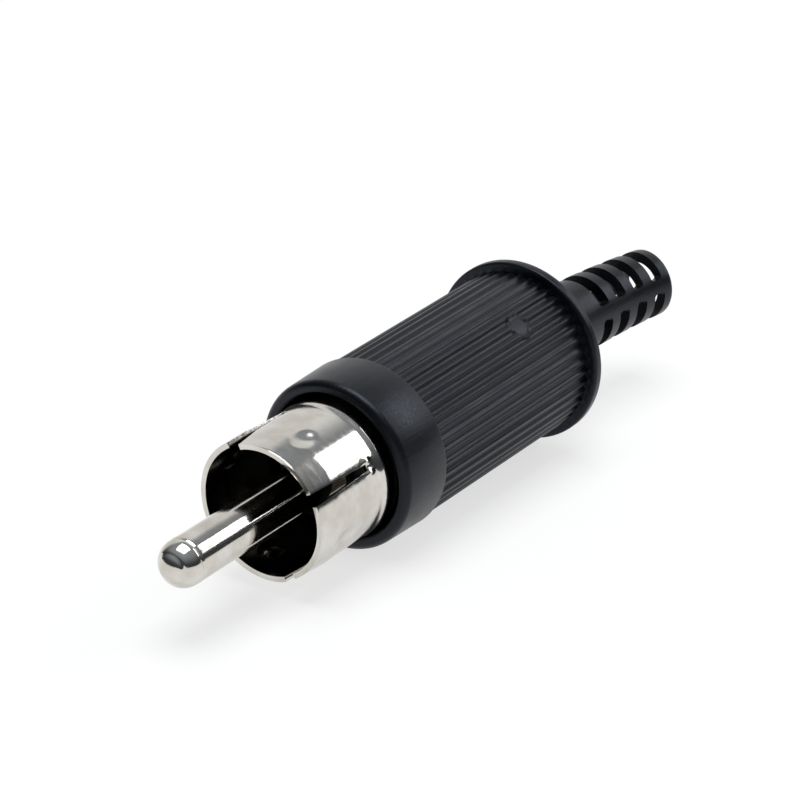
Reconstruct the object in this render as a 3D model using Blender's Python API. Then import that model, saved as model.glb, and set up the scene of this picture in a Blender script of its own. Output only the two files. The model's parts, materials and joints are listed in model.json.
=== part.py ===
"""Phono plug, solder type, with a screw-on moulded cover that ends in a slotted boot.

Metres, +Z up. Every piece is modelled along +X in the plug's own frame: X is the
plug's axis, its zero is the plane of the metal sleeve's rim, the pin points to -X
and the boot to +X. Angles round the axis are measured from the top towards -Y.
The pieces hang on one empty, which lays the plug on its side as it comes to rest,
on the cover's flange and collar.
"""
import math

import bmesh
import bpy
from mathutils import Vector

# Running gap left between pieces that seat on or in each other
CLEARANCE = 0.0003

# Centre pin, drawn tube with a domed nose
PIN_D = 0.00315
PIN_REACH = 0.0092            # nose beyond the sleeve's rim
PIN_NOSE_FLAT_D = 0.0006      # small flat left in the middle of the dome
PIN_SHOULDER_PROUD = 0.0006
PIN_SHOULDER_T = 0.0006
PIN_WALL = 0.00055            # round the bore, which runs up to the dome
PIN_FLARE_PROUD = 0.0005      # rear end, rolled over the solder lug
PIN_FLARE_T = 0.0005

# Ground sleeve, stamped and drawn from sheet
SHEET = 0.0004
SLEEVE_D = 0.0096
SLEEVE_SHOWN = 0.0075         # rim to the cover's front face
SLEEVE_SEAT = 0.0006          # full width carried on inside the cover's mouth
PETALS = 4
SLOT_LENGTH = 0.0054
SLOT_MOUTH = 0.0009
SLOT_ROOT = 0.00045
SLOT_TURN = math.radians(64)
PETAL_LEAN = (0.00008, 0.00016, 0.00030, 0.0)   # outward, petal after each slot
PIP_BACK = 0.0026             # grip pips, pressed inwards, behind the rim
PIP_LENGTH = 0.0022
PIP_WIDTH = 0.0014
PIP_DEPTH = 0.0003
BEAD_GAP = 0.0007             # rolled bead, in front of the cover's face
BEAD_WIDTH = 0.0007
BEAD_HEIGHT = 0.00012
NECK_DROP = 0.0006            # from the sleeve's outside down to the thread's
TAIL_LENGTH = 0.0050
BASE_ROUND = 0.0004
BASE_GAP = 0.0009             # round the pin, where the tail's end is turned in

# Insulating bush and washer
BUSH_FLANGE_T = 0.0010
WASHER_T = 0.0006

# Solder lugs, stamped from thinner sheet
LUG_SHEET = 0.0003
LUG_BEND = 0.0005             # radius on the middle of the sheet
CENTRE_EYE_RIM = 0.0005
CENTRE_TONGUE_W = 0.0020
CENTRE_TONGUE_L = 0.0052
SOLDER_HOLE_D = 0.0010
GROUND_EYE_GAP = 0.0006       # round the pin, which it must not touch
GROUND_STRIP_W = 0.0028
GROUND_STRIP_L = 0.0088
GROUND_STRIP_INSET = 0.00045  # strip's middle inside the thread's outside
FINGER_W = 0.0017
FINGER_GAP = 0.0005
FINGER_SWEEP = math.radians(118)

# Screw cover, one moulding: collar, ribbed grip, flange, shoulder and boot
COLLAR_LENGTH = 0.0042
COLLAR_WALL = 0.00095
COLLAR_DRAFT = 0.00012        # the collar's front is this much smaller in radius
COLLAR_ROUND = 0.0005
MOUTH_GAP = 0.00035           # round the sleeve
GRIP_LENGTH = 0.0176
GRIP_WALL = 0.00145           # round the thread, to the top of the ribs
GRIP_FLARE = 0.00015          # growth in radius towards the flange
RIBS = 46
RIB_HEIGHT = 0.00022
FLANGE_PROUD = 0.00075        # above the ribs
FLANGE_T = 0.0008
FLANGE_ROUND = 0.0002
SHOULDER_STEP = 0.0006        # from the flange's rim in to the cone behind it
SHOULDER_LENGTH = 0.0025
CAVITY_STOP = 0.0013          # the hollow ends this far in front of the flange
CAVITY_TAPER = 0.0034
BOOT_D = 0.0058
BOOT_END_D = 0.0052
BOOT_LENGTH = 0.0130
BOOT_BORE_D = 0.0040
BOOT_BORE_END_D = 0.0037
BOOT_BEND = math.radians(12.5)
BOOT_ROUND = 0.00025
SLOT_ROWS = 4
SLOT_PITCH = 0.0022
SLOT_WIDTH = 0.0012
END_RING = 0.0010
SPINE_WIDTH = 0.0010
SPINE_TURN = math.radians(72)

# Fineness of the round faces
ROUND_STEPS = 28
BORE_STEPS = 48
SMALL_STEPS = 32
DOME_STEPS = 6
FILLET_STEPS = 3
PETAL_COLUMNS = (0, 0.13, 0.26, 0.38, 0.43, 0.47, 0.5, 0.53, 0.57, 0.62, 0.74, 0.87, 1)
PIP_ROWS = (-0.5, -0.25, 0, 0.25, 0.5)
OVERSHOOT = 0.0004            # how far a cutter runs past what it cuts

# Diameters that follow from the sizes above
TAIL_D = SLEEVE_D - 2 * NECK_DROP
SLEEVE_BORE = SLEEVE_D / 2 - SHEET
TAIL_BORE = TAIL_D / 2 - SHEET
BASE_HOLE_D = PIN_D + 2 * BASE_GAP
BUSH_FLANGE_D = 2 * (SLEEVE_BORE - CLEARANCE)
BUSH_D = 2 * (TAIL_BORE - CLEARANCE)
PIN_HOLE = PIN_D / 2 + CLEARANCE
PIN_SHOULDER_D = PIN_D + 2 * PIN_SHOULDER_PROUD
PIN_FLARE_D = PIN_D + 2 * PIN_FLARE_PROUD
PIN_BORE_D = PIN_D - 2 * PIN_WALL
CENTRE_EYE_D = 2 * (PIN_HOLE + CENTRE_EYE_RIM)
CENTRE_TONGUE_RISE = CENTRE_EYE_D / 2 + LUG_BEND
GROUND_STRIP_DROP = TAIL_D / 2 - GROUND_STRIP_INSET
GROUND_EYE_D = 2 * (GROUND_STRIP_DROP - LUG_BEND)
GROUND_EYE_HOLE_D = PIN_D + 2 * GROUND_EYE_GAP
WASHER_D = 2 * (GROUND_STRIP_DROP - LUG_SHEET / 2 - CLEARANCE)
MOUTH_D = SLEEVE_D + 2 * MOUTH_GAP
COLLAR_D = MOUTH_D + 2 * COLLAR_WALL
GRIP_D = TAIL_D + 2 * (CLEARANCE + GRIP_WALL)
FLANGE_D = GRIP_D + 2 * FLANGE_PROUD
SHOULDER_D = FLANGE_D - 2 * SHOULDER_STEP

# Stations along the axis, from the sleeve's rim
COVER_FACE = SLEEVE_SHOWN
COLLAR_END = COVER_FACE + COLLAR_LENGTH
GRIP_END = COLLAR_END + GRIP_LENGTH
FLANGE_END = GRIP_END + FLANGE_T
BOOT_START = FLANGE_END + SHOULDER_LENGTH
BOOT_TIP = BOOT_START + BOOT_LENGTH
NECK_START = COVER_FACE + SLEEVE_SEAT
TAIL_START = NECK_START + NECK_DROP
TAIL_END = TAIL_START + TAIL_LENGTH
NECK_BORE_START = NECK_START - SHEET * math.tan(math.radians(22.5))
BUSH_SEAT = NECK_BORE_START + SLEEVE_BORE - BUSH_FLANGE_D / 2 - CLEARANCE * math.sqrt(2)
BUSH_FACE = BUSH_SEAT - BUSH_FLANGE_T
BUSH_END = TAIL_END - SHEET - CLEARANCE
GROUND_EYE_X = TAIL_END + CLEARANCE
WASHER_X = GROUND_EYE_X + LUG_SHEET + CLEARANCE
CENTRE_EYE_X = WASHER_X + WASHER_T + CLEARANCE
FLARE_X = CENTRE_EYE_X + LUG_SHEET + CLEARANCE
PIN_END = FLARE_X + PIN_FLARE_T


def polar(x, radius, angle):
    """A point at that station, radius and angle from the top towards -Y."""
    return Vector((x, -radius * math.sin(angle), radius * math.cos(angle)))


def arc(centre_x, centre_r, radius, start, stop, steps):
    """Points of an arc in the profile plane, angles in degrees from +X."""
    turns = [math.radians(start + (stop - start) * i / steps) for i in range(steps + 1)]
    return [(centre_x + radius * math.cos(t), centre_r + radius * math.sin(t)) for t in turns]


def material(name, colour, roughness, metallic=0.0):
    """A plain Principled finish."""
    finish = bpy.data.materials.new(name)
    finish.use_nodes = True
    shader = finish.node_tree.nodes["Principled BSDF"]
    shader.inputs["Base Color"].default_value = (*colour, 1)
    shader.inputs["Roughness"].default_value = roughness
    shader.inputs["Metallic"].default_value = metallic
    finish.diffuse_color = (*colour, 1)
    return finish


def make_object(name, mesh, finish=None):
    """Link a mesh as an object, with its finish and smooth round faces."""
    thing = bpy.data.objects.new(name, mesh)
    bpy.context.scene.collection.objects.link(thing)
    if finish:
        mesh.materials.clear()
        mesh.materials.append(finish)
    return thing


def from_bmesh(name, shape):
    """Turn a bmesh into a mesh with its faces pointing out."""
    bmesh.ops.recalc_face_normals(shape, faces=shape.faces)
    mesh = bpy.data.meshes.new(name)
    shape.to_mesh(mesh)
    shape.free()
    return mesh


def turned(name, outline, steps, finish=None):
    """Spin a profile of (station, radius) points round the axis.

    The outline is closed. Where it starts and ends on the axis, the last stretch
    along the axis is left out, so that the body is solid there.
    """
    shape = bmesh.new()
    profile = [shape.verts.new(polar(x, max(r, 0.0), 0)) for x, r in outline]
    solid = outline[0][1] <= 0 and outline[-1][1] <= 0
    pairs = list(zip(profile, profile[1:]))
    if not solid:
        pairs.append((profile[-1], profile[0]))
    edges = [shape.edges.new(pair) for pair in pairs]
    bmesh.ops.spin(shape, geom=profile + edges, cent=(0, 0, 0), axis=(1, 0, 0),
                   angle=2 * math.pi, steps=steps, use_merge=False)
    bmesh.ops.remove_doubles(shape, verts=shape.verts, dist=1e-7)
    return make_object(name, from_bmesh(name, shape), finish)


def slab(name, corner, size):
    """A box from its lowest corner and its size."""
    shape = bmesh.new()
    bmesh.ops.create_cube(shape, size=1)
    bmesh.ops.scale(shape, vec=size, verts=shape.verts)
    middle = [c + s / 2 for c, s in zip(corner, size)]
    bmesh.ops.translate(shape, vec=middle, verts=shape.verts)
    return make_object(name, from_bmesh(name, shape))


def prism(name, outline, start, stop, finish=None):
    """Extrude a closed outline of (x, z) points from one y to another."""
    shape = bmesh.new()
    face = shape.faces.new([shape.verts.new((x, start, z)) for x, z in outline])
    grown = bmesh.ops.extrude_face_region(shape, geom=[face])["geom"]
    moved = [v for v in grown if isinstance(v, bmesh.types.BMVert)]
    bmesh.ops.translate(shape, vec=(0, stop - start, 0), verts=moved)
    return make_object(name, from_bmesh(name, shape), finish)


def combine(body, others, operation):
    """Apply a Boolean with each of the others, and take the others away."""
    for other in others:
        change = body.modifiers.new(operation.title(), "BOOLEAN")
        change.operation = operation
        change.solver = "EXACT"
        change.object = other
    depsgraph = bpy.context.evaluated_depsgraph_get()
    mesh = bpy.data.meshes.new_from_object(body.evaluated_get(depsgraph))
    body.modifiers.clear()
    body.data = mesh
    for other in others:
        bpy.data.objects.remove(other)


def soften(thing, angle):
    """Smooth shading, but for edges sharper than the angle in degrees."""
    thing.data.shade_smooth()
    thing.data.set_sharp_from_angle(angle=math.radians(angle))


def centre_pin(finish):
    """Nickel-plated tube with a domed nose, a shoulder and a rolled rear end."""
    radius = PIN_D / 2
    dome_x = radius - PIN_REACH
    flat_turn = math.degrees(math.asin(PIN_NOSE_FLAT_D / PIN_D))
    dome = arc(dome_x, 0, radius, 180 - flat_turn, 90, DOME_STEPS)
    shoulder_x = BUSH_FACE - CLEARANCE - PIN_SHOULDER_T
    shoulder = PIN_SHOULDER_D / 2
    bore = PIN_BORE_D / 2
    outline = [(dome[0][0], 0)] + dome + [
        (shoulder_x, radius), (shoulder_x, shoulder),
        (shoulder_x + PIN_SHOULDER_T, shoulder), (shoulder_x + PIN_SHOULDER_T, radius),
        (FLARE_X, radius), (FLARE_X, PIN_FLARE_D / 2),
        (PIN_END, PIN_FLARE_D / 2), (PIN_END, bore),
        (dome_x, bore), (dome_x - bore / 2, 0)]
    pin = turned("centre_pin", outline, SMALL_STEPS, finish)
    soften(pin, 40)
    return pin


def sleeve_profile():
    """Stations and radii of the sheet's outer side, from rim to base hole."""
    radius = SLEEVE_D / 2
    pip_rows = [PIP_BACK + PIP_LENGTH * row for row in PIP_ROWS]
    bead = COVER_FACE - BEAD_GAP
    rows = [(x, radius) for x in [0.0] + pip_rows]
    rows += [((pip_rows[-1] + SLOT_LENGTH) / 2, radius), (SLOT_LENGTH, radius)]
    rows += [(bead - BEAD_WIDTH / 2, radius), (bead, radius + BEAD_HEIGHT),
             (bead + BEAD_WIDTH / 2, radius)]
    rows += [(NECK_START, radius), (TAIL_START, TAIL_D / 2)]
    rows += arc(TAIL_END - BASE_ROUND, TAIL_D / 2 - BASE_ROUND, BASE_ROUND, 90, 0, FILLET_STEPS)
    rows.append((TAIL_END, BASE_HOLE_D / 2))
    return rows


def pip_depth(x, across):
    """How far a grip pip presses the sheet in, at a station and arc distance."""
    reach = ((x - PIP_BACK) / (PIP_LENGTH / 2)) ** 2 + (across / (PIP_WIDTH / 2)) ** 2
    return PIP_DEPTH * (1 - reach) ** 2 if reach < 1 else 0.0


def ground_sleeve(finish):
    """Stamped sleeve: four slotted petals with pips, a bead, a neck and a tail."""
    shape = bmesh.new()
    petal_turn = 2 * math.pi / PETALS
    grid = []
    for x, radius in sleeve_profile():
        along = min(x / SLOT_LENGTH, 1.0)
        half_gap = (SLOT_MOUTH + (SLOT_ROOT - SLOT_MOUTH) * along) / SLEEVE_D
        ring = []
        for petal in range(PETALS):
            first = SLOT_TURN + petal * petal_turn + half_gap
            span = petal_turn - 2 * half_gap
            lean = PETAL_LEAN[petal % len(PETAL_LEAN)] * (1 - along) ** 1.5
            for column in PETAL_COLUMNS:
                pressed = pip_depth(x, (column - 0.5) * span * radius)
                ring.append(shape.verts.new(
                    polar(x, radius + lean - pressed, first + column * span)))
        grid.append((x, ring))
    columns = len(PETAL_COLUMNS)
    for (x, ring), (_, following) in zip(grid, grid[1:]):
        for i in range(len(ring)):
            in_slot = (i + 1) % columns == 0 and x < SLOT_LENGTH - CLEARANCE
            if not in_slot:
                j = (i + 1) % len(ring)
                shape.faces.new((ring[i], following[i], following[j], ring[j]))
    mesh = from_bmesh("ground_sleeve", shape)
    sleeve = make_object("ground_sleeve", mesh, finish)
    wall = sleeve.modifiers.new("Sheet", "SOLIDIFY")
    wall.thickness = SHEET
    wall.offset = -1
    wall.use_even_offset = True
    soften(sleeve, 40)
    return sleeve


def insulating_bush(finish):
    """Stepped bush that carries the pin in the sleeve's tail."""
    outline = [
        (BUSH_FACE, PIN_HOLE), (BUSH_FACE, BUSH_FLANGE_D / 2), (BUSH_SEAT, BUSH_FLANGE_D / 2),
        (BUSH_SEAT, BUSH_D / 2), (BUSH_END, BUSH_D / 2), (BUSH_END, PIN_HOLE)]
    bush = turned("insulating_bush", outline, SMALL_STEPS, finish)
    soften(bush, 40)
    return bush


def rear_washer(finish):
    """Wafer that keeps the two solder lugs apart."""
    outline = [
        (WASHER_X, PIN_HOLE), (WASHER_X, WASHER_D / 2),
        (WASHER_X + WASHER_T, WASHER_D / 2), (WASHER_X + WASHER_T, PIN_HOLE)]
    washer = turned("rear_washer", outline, SMALL_STEPS, finish)
    soften(washer, 40)
    return washer


def eye(name, x, outer_d, hole_d, finish):
    """Flat ring of lug sheet whose front side is at that station."""
    outline = [(x, hole_d / 2), (x, outer_d / 2), (x + LUG_SHEET, outer_d / 2),
               (x + LUG_SHEET, hole_d / 2)]
    return turned(name, outline, SMALL_STEPS, finish)


def folded_strip(name, eye_x, foot, rise, reach, width):
    """Strip that leaves an eye along Z, turns rearwards and runs along X."""
    side = math.copysign(1, rise)
    inner = LUG_BEND - LUG_SHEET / 2
    outer = LUG_BEND + LUG_SHEET / 2
    turn_x = eye_x + outer
    turn_z = abs(rise) - LUG_BEND
    outside = arc(turn_x, turn_z, outer, 180, 90, FILLET_STEPS)
    inside = arc(turn_x, turn_z, inner, 90, 180, FILLET_STEPS)
    end = eye_x + reach
    outline = [(eye_x, foot)] + outside + [(end, outside[-1][1]), (end, inside[0][1])]
    outline += inside + [(eye_x + LUG_SHEET, foot)]
    return prism(name, [(x, side * z) for x, z in outline], -width / 2, width / 2)


def centre_lug(finish):
    """Stamped solder lug held by the pin's rolled end."""
    lug = eye("centre_lug", CENTRE_EYE_X, CENTRE_EYE_D, 2 * PIN_HOLE, finish)
    foot = (CENTRE_EYE_D / 2 + PIN_HOLE) / 2
    tongue = folded_strip("tongue", CENTRE_EYE_X, foot, CENTRE_TONGUE_RISE, CENTRE_TONGUE_L,
                          CENTRE_TONGUE_W)
    combine(lug, [tongue], "UNION")
    hole_x = CENTRE_EYE_X + CENTRE_TONGUE_L - SOLDER_HOLE_D
    punch = turned("punch", [(-OVERSHOOT, 0), (-OVERSHOOT, SOLDER_HOLE_D / 2),
                             (OVERSHOOT + LUG_SHEET, SOLDER_HOLE_D / 2),
                             (OVERSHOOT + LUG_SHEET, 0)], SMALL_STEPS // 2)
    punch.rotation_euler = (0, -math.pi / 2, 0)
    punch.location = (hole_x, 0, CENTRE_TONGUE_RISE - LUG_SHEET / 2)
    bpy.context.view_layer.update()
    combine(lug, [punch], "DIFFERENCE")
    soften(lug, 40)
    return lug


def finger(name, x, side):
    """Clamp finger that rises from the ground strip round the cable."""
    steps = 4 * FILLET_STEPS
    shape = bmesh.new()
    inner, outer = GROUND_STRIP_DROP - LUG_SHEET / 2, GROUND_STRIP_DROP + LUG_SHEET / 2
    lap = GROUND_STRIP_W / 4 / GROUND_STRIP_DROP
    rings = []
    for i in range(steps + 1):
        turn = math.pi + side * (FINGER_SWEEP * i / steps - lap)
        corners = ((x, inner), (x, outer), (x + FINGER_W, outer), (x + FINGER_W, inner))
        rings.append([shape.verts.new(polar(cx, r, turn)) for cx, r in corners])
    shape.faces.new(rings[0])
    shape.faces.new(rings[-1])
    for ring, following in zip(rings, rings[1:]):
        for i in range(4):
            j = (i + 1) % 4
            shape.faces.new((ring[i], ring[j], following[j], following[i]))
    return make_object(name, from_bmesh(name, shape))


def ground_lug(finish):
    """Stamped ground lug with two fingers that clamp the cable."""
    lug = eye("ground_lug", GROUND_EYE_X, GROUND_EYE_D, GROUND_EYE_HOLE_D, finish)
    foot = (GROUND_EYE_D + GROUND_EYE_HOLE_D) / 4
    strip = folded_strip("strip", GROUND_EYE_X, foot, -GROUND_STRIP_DROP, GROUND_STRIP_L,
                         GROUND_STRIP_W)
    rear_x = GROUND_EYE_X + GROUND_STRIP_L - FINGER_W - CLEARANCE
    front_x = rear_x - FINGER_GAP - FINGER_W
    combine(lug, [strip, finger("front_finger", front_x, 1), finger("rear_finger", rear_x, -1)],
            "UNION")
    soften(lug, 40)
    return lug


def cover_outside():
    """Profile of the cover's outer side without its ribs, from mouth to boot tip."""
    collar_front = COLLAR_D / 2 - COLLAR_DRAFT
    flange = FLANGE_D / 2
    core = GRIP_D / 2 - 2 * RIB_HEIGHT
    outline = arc(COVER_FACE + COLLAR_ROUND, collar_front - COLLAR_ROUND, COLLAR_ROUND,
                  180, 90, FILLET_STEPS)
    outline += [(COLLAR_END, COLLAR_D / 2), (COLLAR_END, core), (GRIP_END, core)]
    outline += arc(GRIP_END + FLANGE_ROUND, flange - FLANGE_ROUND, FLANGE_ROUND, 180, 90, 1)
    outline += arc(FLANGE_END - FLANGE_ROUND, flange - FLANGE_ROUND, FLANGE_ROUND, 90, 0, 1)
    outline += [(FLANGE_END, SHOULDER_D / 2)]
    rows = 2 * SLOT_ROWS
    tip = BOOT_TIP - BOOT_ROUND
    for i in range(rows + 1):
        part = i / rows
        outline.append((BOOT_START + (tip - BOOT_START) * part,
                        (BOOT_D + (BOOT_END_D - BOOT_D) * part) / 2))
    outline.append((BOOT_TIP, BOOT_END_D / 2 - BOOT_ROUND))
    return outline


def cover_hollow():
    """Profile of the cover's hollow, from in front of the mouth past the boot tip."""
    bore = TAIL_D / 2 + CLEARANCE
    mouth = MOUTH_D / 2
    seat = NECK_START + SLEEVE_D / 2 + CLEARANCE * math.sqrt(2)
    stop = GRIP_END - CAVITY_STOP
    outline = [(COVER_FACE - OVERSHOOT, 0), (COVER_FACE - OVERSHOOT, mouth),
               (seat - mouth, mouth), (seat - bore, bore), (stop, bore)]
    rows = 2 * SLOT_ROWS
    first = stop + CAVITY_TAPER
    last = BOOT_TIP + OVERSHOOT
    for i in range(rows + 1):
        part = i / rows
        outline.append((first + (last - first) * part,
                        (BOOT_BORE_D + (BOOT_BORE_END_D - BOOT_BORE_D) * part) / 2))
    outline.append((last, 0))
    return outline


def rib_sleeve():
    """Ribbed prism of the grip, rooted in the collar and the flange."""
    shape = bmesh.new()
    rings = []
    root = OVERSHOOT
    for x, grown in ((COLLAR_END - root, 0.0), (GRIP_END + root, GRIP_FLARE)):
        ring = []
        crest = GRIP_D / 2 + grown
        for rib in range(RIBS):
            for part, radius in ((0, crest - RIB_HEIGHT), (0.32, crest - RIB_HEIGHT),
                                 (0.5, crest), (0.82, crest)):
                turn = 2 * math.pi * (rib + part) / RIBS
                ring.append(shape.verts.new(polar(x, radius, turn)))
        rings.append(ring)
    shape.faces.new(rings[0])
    shape.faces.new(rings[1])
    count = len(rings[0])
    for i in range(count):
        j = (i + 1) % count
        shape.faces.new((rings[0][i], rings[0][j], rings[1][j], rings[1][i]))
    return make_object("ribs", from_bmesh("ribs", shape))


def boot_cutters():
    """Boxes that open each row of the boot on both sides of its two spines."""
    cutters = []
    size = BOOT_D
    last_row = BOOT_TIP - END_RING - SLOT_WIDTH
    for row in range(SLOT_ROWS):
        x = last_row - row * SLOT_PITCH
        for low in (SPINE_WIDTH / 2, -SPINE_WIDTH / 2 - size):
            cutter = slab(f"row_{row}", (x, -size, low), (SLOT_WIDTH, 2 * size, size))
            cutter.rotation_euler = (math.pi / 2 - SPINE_TURN, 0, 0)
            cutters.append(cutter)
    bpy.context.view_layer.update()
    return cutters


def bend_boot(mesh):
    """Curve all that lies behind the boot's root towards -Y."""
    radius = BOOT_LENGTH / BOOT_BEND
    for vertex in mesh.vertices:
        along = vertex.co.x - BOOT_START
        if along > 0:
            turn = along / radius
            side = radius + vertex.co.y
            vertex.co.x = BOOT_START + side * math.sin(turn)
            vertex.co.y = side * math.cos(turn) - radius


def screw_cover(finish):
    """The moulded cover: collar, ribbed grip, flange, shoulder and slotted boot."""
    outside = cover_outside()
    outline = [(outside[0][0], 0)] + outside + [(outside[-1][0], 0)]
    cover = turned("screw_cover", outline, ROUND_STEPS, finish)
    combine(cover, [rib_sleeve()], "UNION")
    combine(cover, [turned("hollow", cover_hollow(), BORE_STEPS)] + boot_cutters(), "DIFFERENCE")
    bend_boot(cover.data)
    soften(cover, 35)
    return cover


def lay_down(pieces):
    """Lay the plug on flange and collar, and centre its box over the origin."""
    rest_length = GRIP_END + FLANGE_ROUND - COLLAR_END
    tilt = math.atan2((FLANGE_D - COLLAR_D) / 2, rest_length)
    axis = bpy.data.objects.new("plug_axis", None)
    bpy.context.scene.collection.objects.link(axis)
    axis.rotation_euler = (0, -tilt, 0)
    for piece in pieces:
        piece.parent = axis
    bpy.context.view_layer.update()
    corners = [piece.matrix_world @ v.co for piece in pieces for v in piece.data.vertices]
    low_x = min(c.x for c in corners)
    high_x = max(c.x for c in corners)
    axis.location = (-(low_x + high_x) / 2, 0, -min(c.z for c in corners))


def build():
    """Clear the scene and model the plug."""
    for thing in list(bpy.data.objects):
        bpy.data.objects.remove(thing)
    nickel = material("nickel_plate", (0.62, 0.60, 0.56), 0.22, 1.0)
    tinned = material("tinned_brass", (0.60, 0.58, 0.53), 0.35, 1.0)
    black_plastic = material("black_plastic", (0.012, 0.012, 0.014), 0.45)
    dark_bush = material("bush_plastic", (0.02, 0.02, 0.02), 0.55)
    wafer = material("wafer_board", (0.16, 0.07, 0.03), 0.7)
    lay_down([
        screw_cover(black_plastic), ground_sleeve(nickel), centre_pin(nickel),
        insulating_bush(dark_bush), ground_lug(tinned), rear_washer(wafer),
        centre_lug(tinned)])


build()
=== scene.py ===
import json
import math
import random

import bmesh
import bpy
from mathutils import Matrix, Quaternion, Vector


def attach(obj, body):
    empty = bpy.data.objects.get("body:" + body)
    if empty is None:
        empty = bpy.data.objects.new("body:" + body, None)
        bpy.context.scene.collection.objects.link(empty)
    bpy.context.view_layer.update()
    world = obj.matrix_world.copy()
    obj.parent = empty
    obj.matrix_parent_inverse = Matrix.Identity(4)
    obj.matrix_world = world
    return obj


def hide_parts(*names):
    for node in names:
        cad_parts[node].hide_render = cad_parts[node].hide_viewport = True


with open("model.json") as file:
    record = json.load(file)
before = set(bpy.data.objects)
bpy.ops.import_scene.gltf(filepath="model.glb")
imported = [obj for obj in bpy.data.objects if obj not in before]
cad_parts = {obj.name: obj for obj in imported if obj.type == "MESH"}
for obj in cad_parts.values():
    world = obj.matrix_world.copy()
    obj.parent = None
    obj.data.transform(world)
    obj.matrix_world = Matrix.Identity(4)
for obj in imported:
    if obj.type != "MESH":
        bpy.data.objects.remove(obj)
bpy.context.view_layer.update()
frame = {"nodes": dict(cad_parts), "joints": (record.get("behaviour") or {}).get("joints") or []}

MM = 0.001

# Where the plug lies: the middle of the sleeve's rim, and how far its axis rises to the boot
TURN_JOINT = next(joint for joint in frame["joints"] if joint["name"] == "cover_turn")
RIM = Vector(TURN_JOINT["pos_m"])
AXIS = Vector(TURN_JOINT["axis"])
TILT = math.atan2(AXIS.z, AXIS.x)

# Camera, from the perspective fitted to the plug's round edges
PIXELS = 800
FOCAL_PIXELS = 2500
SENSOR_MM = 36
VIEW_DROP = math.radians(23.85)
VIEW_TURN = math.radians(-54.57)
VIEW_AIM = Vector((-3.41, 0, 8.05)) * MM
VIEW_DISTANCE = 167.4 * MM

# Lights: turns from the camera's heading to the right, rises, sizes in metres, levels with 1 for white
WINDOW_TURN = math.radians(66)
WINDOW_RISE = math.radians(31)
WINDOW_LEAN = math.radians(-33)
WINDOW_SIZE = (0.27, 0.48)
WINDOW_DISTANCE = 0.9
WINDOW_LIGHT = 4.0
SOFT_BOX_SIZE = (0.75, 0.75)
SOFT_BOX_DISTANCE = 1.0
SOFT_BOX_LIGHT = 4.5
FLOOR_GLOW = 0.68

# Backdrop and room, as the nickel mirrors them: edges as cosines of the side and sines of the rise
BACKDROP_SIDE = (0.45, 0.75)
BACKDROP_TOP = (0.72, 0.80)
BACKDROP_SHARE = 0.85
ROOM_RISE = (0.15, 0.85)
ROOM_LIGHT = (0.06, 0.36)

# Centre pin, millimetres in the plug's own frame: +X along the axis to the boot, 0 at the rim
PIN_R = 1.575
PIN_NOSE = -9.2
PIN_DOME = 1.5
PIN_DOME_STEP = 3
PIN_SHAFT_STEP = 1.5
PIN_GROOVE = math.radians(42)
PIN_RING_GAP = 0.12
PIN_RING_DEPTH = 0.05
PIN_SHOULDER = (5.95, 6.55, 2.175)
PIN_FLARE = (16.1, 16.6, 2.075)
PIN_BORE_R = 1.025
PIN_BORE_TIP = (1.0, 0.615)
PIN_SIDES = 96

# Ground sleeve
SLEEVE_R = 4.8
SLEEVE_SHEET = 0.36
PETALS = 4
PETAL_COLUMNS = 48
SLEEVE_STEP = 0.15
SLOT_TURN = math.radians(64)
SLOT_LENGTH = 5.4
SLOT_MOUTH = 0.9
SLOT_ROOT = 0.42
PETAL_LEAN = (0.08, 0.16, 0.30, 0.0)
LEAN_CURVE = 1.5
LEAD_IN = 1.95
LEAD_IN_DROP = 0.17
PIP_X = 2.6
PIP_SIZE = (2.3, 1.5)
PIP_DEPTH = 0.18
PIP_CURVE = 1.6
BEAD_X = 6.8
BEAD_WIDTH = 1.0
BEAD_HEIGHT = 0.07
NECK = (8.1, 8.7)
TAIL_R = 4.2
TAIL_END = 13.7
TAIL_ROUND = 0.4
BASE_HOLE_R = 2.475
THREAD_PITCH = 1.0
THREAD_DEPTH = 0.24
THREAD_ENDS = (8.95, 13.1)
THREAD_FADE = 0.6
THREAD_STEP = 0.11
BURR_REACH = 0.55
BURR_HEIGHT = 0.22
BURR_START = (0.1, 0.22)
BURR_RIDGE = (0.3, 0.16)
SHEARED_EDGE = 0.05

# Bush and wafer
BUSH = ((6.85, 4.1), (7.85, 4.1), (7.85, 3.5), (13.0, 3.5))
BUSH_BORE_R = 1.875
WAFER = (14.6, 15.2, 3.3)
CHAMFER = 0.12

# Screw cover
COVER_FACE = 7.5
MOUTH_R = 5.15
MOUTH_CHAMFER = 0.12
COLLAR_END = 11.7
COLLAR_R = 6.1
COLLAR_DRAFT = 0.12
COLLAR_ROUND = 0.5
COLLAR_EDGE = ((0.15, 0.0), (0.04, 0.03), (0.0, 0.12))
GRIP_END = 29.3
GRIP_R = 5.95
GRIP_FLARE = 0.15
RIBS = 46
RIB_SIDES = 8
RIB_STEP = 0.7
RIB_DEPTH = 0.22
RIB_FLANK = (0.25, 0.85)
RIB_LOWEST = 0.72
RIB_END = 0.02
FLANGE_R = 6.7
FLANGE_END = 30.1
FLANGE_ROUND = 0.18
SHOULDER_R = 6.1
SHOULDER_EDGE = 0.1
BOOT_START = 32.6
BOOT_R = 2.9
BOOT_END_R = 2.6
BOOT_LENGTH = 13.0
BOOT_BEND = math.radians(12.5)
BOOT_BORE_R = (2.0, 1.85)
BOOT_ROUND = 0.25
BOOT_SIDES = 96
SLOT_ROWS = 4
SLOT_PITCH = 2.2
SLOT_WIDTH = 1.2
SLOT_CORNER = 0.26
SLOT_CORNER_MOVE = (0.09, 0.42)
BOOT_ROOT_STATIONS = (0.0, 0.5, 1.2, 2.2, 3.2)
END_RING = 1.0
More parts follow.
